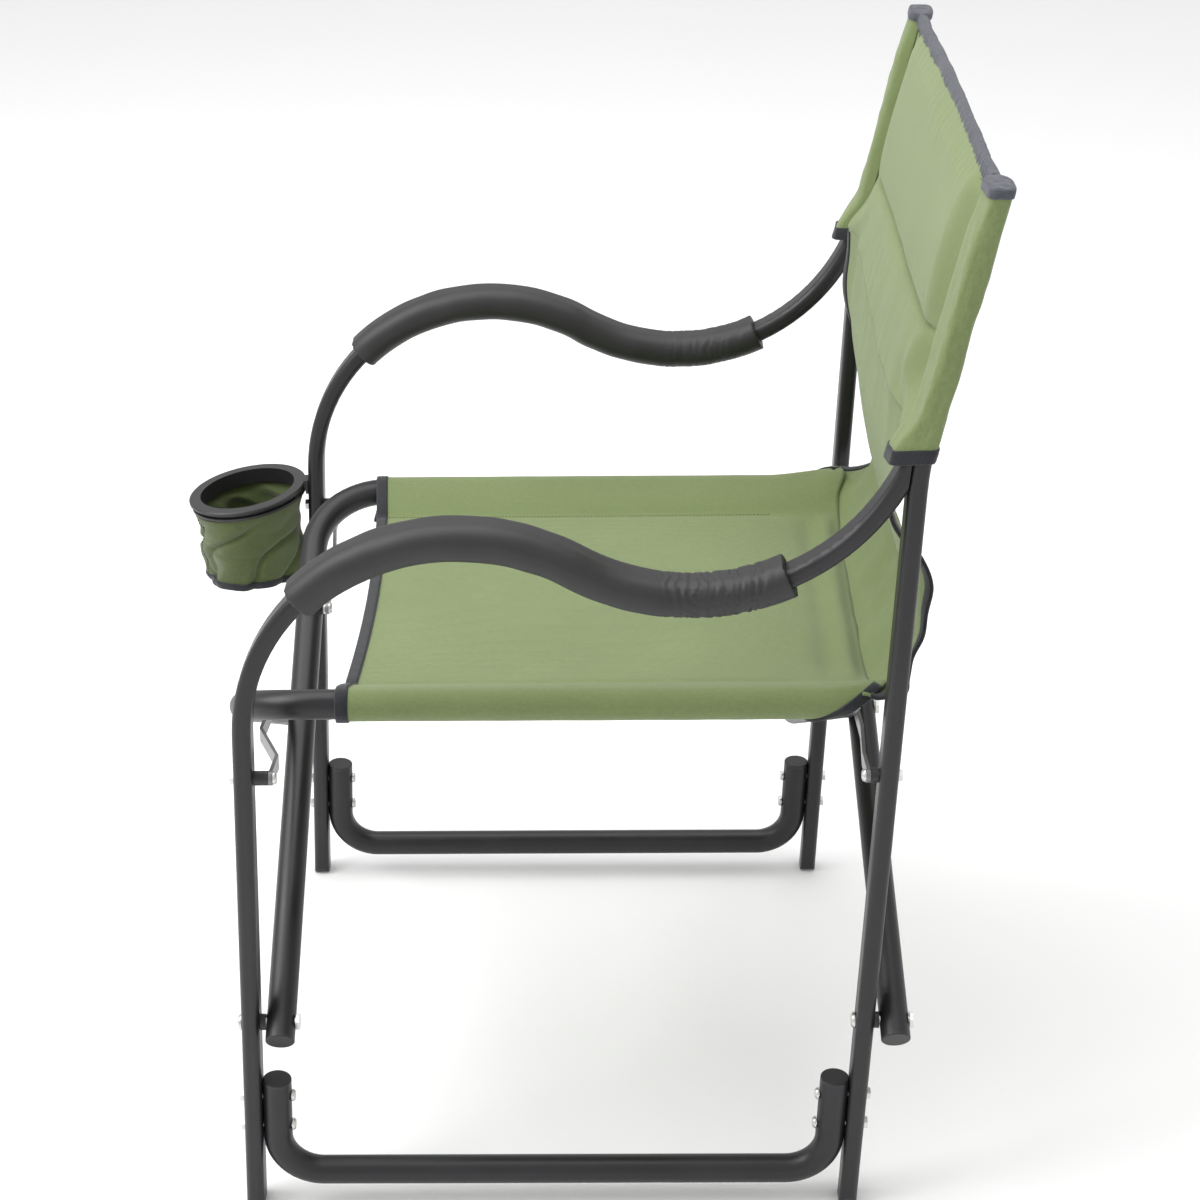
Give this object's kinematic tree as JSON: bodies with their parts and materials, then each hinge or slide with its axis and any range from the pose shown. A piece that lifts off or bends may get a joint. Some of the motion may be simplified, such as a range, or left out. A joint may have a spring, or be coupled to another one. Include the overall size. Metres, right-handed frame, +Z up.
{
  "type": "folding camp chair",
  "caption": "Folding camp armchair with tube side frames, a scissor base, foam arms, a cloth seat and back and a cup holder.",
  "frame": {"origin": "on the ground, under the centre of the open chair's bounding box", "axes": "+Z up, -Y to the front, +X to the sitter's left"},
  "size_m": [0.621, 0.7184, 0.9203],
  "materials": {
    "frame_tube": "satin",
    "zinc_steel": "satin",
    "link_steel": "satin",
    "black_plastic": "matte",
    "foam": "matte",
    "green_cloth": "matte",
    "padding": "matte"
  },
  "bodies": {
    "left_side": {"left_arm_foam": "foam", "left_back_sleeve": "green_cloth", "left_front_leg_arm": "frame_tube", "left_ground_rail": "frame_tube", "left_ground_rail_bolts": "zinc_steel", "left_ground_rail_caps": "black_plastic", "left_link_bolts": "zinc_steel", "left_link_spacers": "black_plastic", "left_low_pivot_bolts": "zinc_steel", "left_low_pivot_spacers": "black_plastic", "left_post_cap": "black_plastic", "left_rear_leg_post": "frame_tube"},
    "scissor_a": {"centre_pivot_bolts": "zinc_steel", "centre_pivot_spacers": "black_plastic", "scissor_a_caps": "black_plastic", "scissor_a_tube": "frame_tube"},
    "scissor_b": {"scissor_b_caps": "black_plastic", "scissor_b_tube": "frame_tube"},
    "right_side": {"cup_bag": "green_cloth", "cup_clip": "black_plastic", "cup_ring": "black_plastic", "right_arm_foam": "foam", "right_back_sleeve": "green_cloth", "right_front_leg_arm": "frame_tube", "right_ground_rail": "frame_tube", "right_ground_rail_bolts": "zinc_steel", "right_ground_rail_caps": "black_plastic", "right_link_bolts": "zinc_steel", "right_link_spacers": "black_plastic", "right_low_pivot_bolts": "zinc_steel", "right_low_pivot_spacers": "black_plastic", "right_post_cap": "black_plastic", "right_rear_leg_post": "frame_tube"},
    "left_front_link": {"left_front_link": "link_steel", "left_front_link_stud": "zinc_steel"},
    "left_rear_link": {"left_rear_link": "link_steel", "left_rear_link_stud": "zinc_steel"},
    "right_front_link": {"right_front_link": "link_steel", "right_front_link_stud": "zinc_steel"},
    "right_rear_link": {"right_rear_link": "link_steel", "right_rear_link_stud": "zinc_steel"},
    "seat_left": {"left_seat_half": "green_cloth"},
    "seat_right": {"right_seat_half": "green_cloth"},
    "back_left": {"left_back_half": "green_cloth", "left_back_pad": "padding", "left_back_tail": "green_cloth"},
    "back_right": {"right_back_half": "green_cloth", "right_back_pad": "padding", "right_back_tail": "green_cloth"}
  },
  "joints": [
    {"name": "fold", "type": "hinge", "parent": "left_side", "child": "scissor_a", "pos_m": [0.28848, 0.00994, 0.19], "axis": [0, 1, 0], "range_deg": [0, 44.2]},
    {"name": "centre_pivot", "type": "hinge", "parent": "scissor_a", "child": "scissor_b", "pos_m": [0.01848, 0.00994, 0.34463], "axis": [0, 1, 0], "range_deg": [-88.6, 0]},
    {"name": "right_low_pivot", "type": "hinge", "parent": "scissor_b", "child": "right_side", "pos_m": [-0.25152, 0.00994, 0.19], "axis": [0, 1, 0], "range_deg": [0, 44.4]},
    {"name": "left_front_link_pivot", "type": "hinge", "parent": "left_side", "child": "left_front_link", "pos_m": [0.28848, 0.00994, 0.4302], "axis": [0, 1, 0], "range_deg": [0, 81.78]},
    {"name": "left_rear_link_pivot", "type": "hinge", "parent": "left_side", "child": "left_rear_link", "pos_m": [0.28848, 0.00994, 0.4302], "axis": [0, 1, 0], "range_deg": [0, 81.78]},
    {"name": "right_front_link_pivot", "type": "hinge", "parent": "right_side", "child": "right_front_link", "pos_m": [-0.25152, 0.00994, 0.4302], "axis": [0, 1, 0], "range_deg": [-81.78, 0]},
    {"name": "right_rear_link_pivot", "type": "hinge", "parent": "right_side", "child": "right_rear_link", "pos_m": [-0.25152, 0.00994, 0.4302], "axis": [0, 1, 0], "range_deg": [-81.78, 0]},
    {"name": "seat_left_sleeve", "type": "hinge", "parent": "scissor_b", "child": "seat_left", "pos_m": [0.23348, 0.00994, 0.46776], "axis": [0, 1, 0], "range_deg": [-27.48, 0], "deforming": ["left_seat_half"]},
    {"name": "seat_crease", "type": "hinge", "parent": "seat_left", "child": "seat_right", "pos_m": [0.01848, 0.00994, 0.47176], "axis": [0, 1, 0], "range_deg": [0, 143.16], "deforming": ["right_seat_half"]},
    {"name": "back_left_seam", "type": "hinge", "parent": "left_side", "child": "back_left", "pos_m": [0.27338, 0.32657, 0.82], "axis": [0, 0.2243, 0.9745], "range_deg": [-74.11, 0], "deforming": ["left_back_half", "left_back_pad", "left_back_tail"]},
    {"name": "back_crease", "type": "hinge", "parent": "back_left", "child": "back_right", "pos_m": [0.01848, 0.32657, 0.82], "axis": [0, 0.2243, 0.9745], "range_deg": [0, 148.01], "deforming": ["right_back_half", "right_back_pad", "right_back_tail"]}
  ],
  "couplings": [
    {"joint": "centre_pivot", "follows": "fold", "ratio": -2},
    {"joint": "right_low_pivot", "follows": "fold", "ratio": 1},
    {"joint": "left_front_link_pivot", "follows": "fold", "ratio": 1.8457},
    {"joint": "left_rear_link_pivot", "follows": "fold", "ratio": 1.8457},
    {"joint": "right_front_link_pivot", "follows": "fold", "ratio": -1.8457},
    {"joint": "right_rear_link_pivot", "follows": "fold", "ratio": -1.8457},
    {"joint": "seat_left_sleeve", "follows": "fold", "ratio": -0.61719},
    {"joint": "seat_crease", "follows": "fold", "ratio": 3.2344},
    {"joint": "back_left_seam", "follows": "fold", "ratio": -1.6721},
    {"joint": "back_crease", "follows": "fold", "ratio": 3.3441}
  ]
}
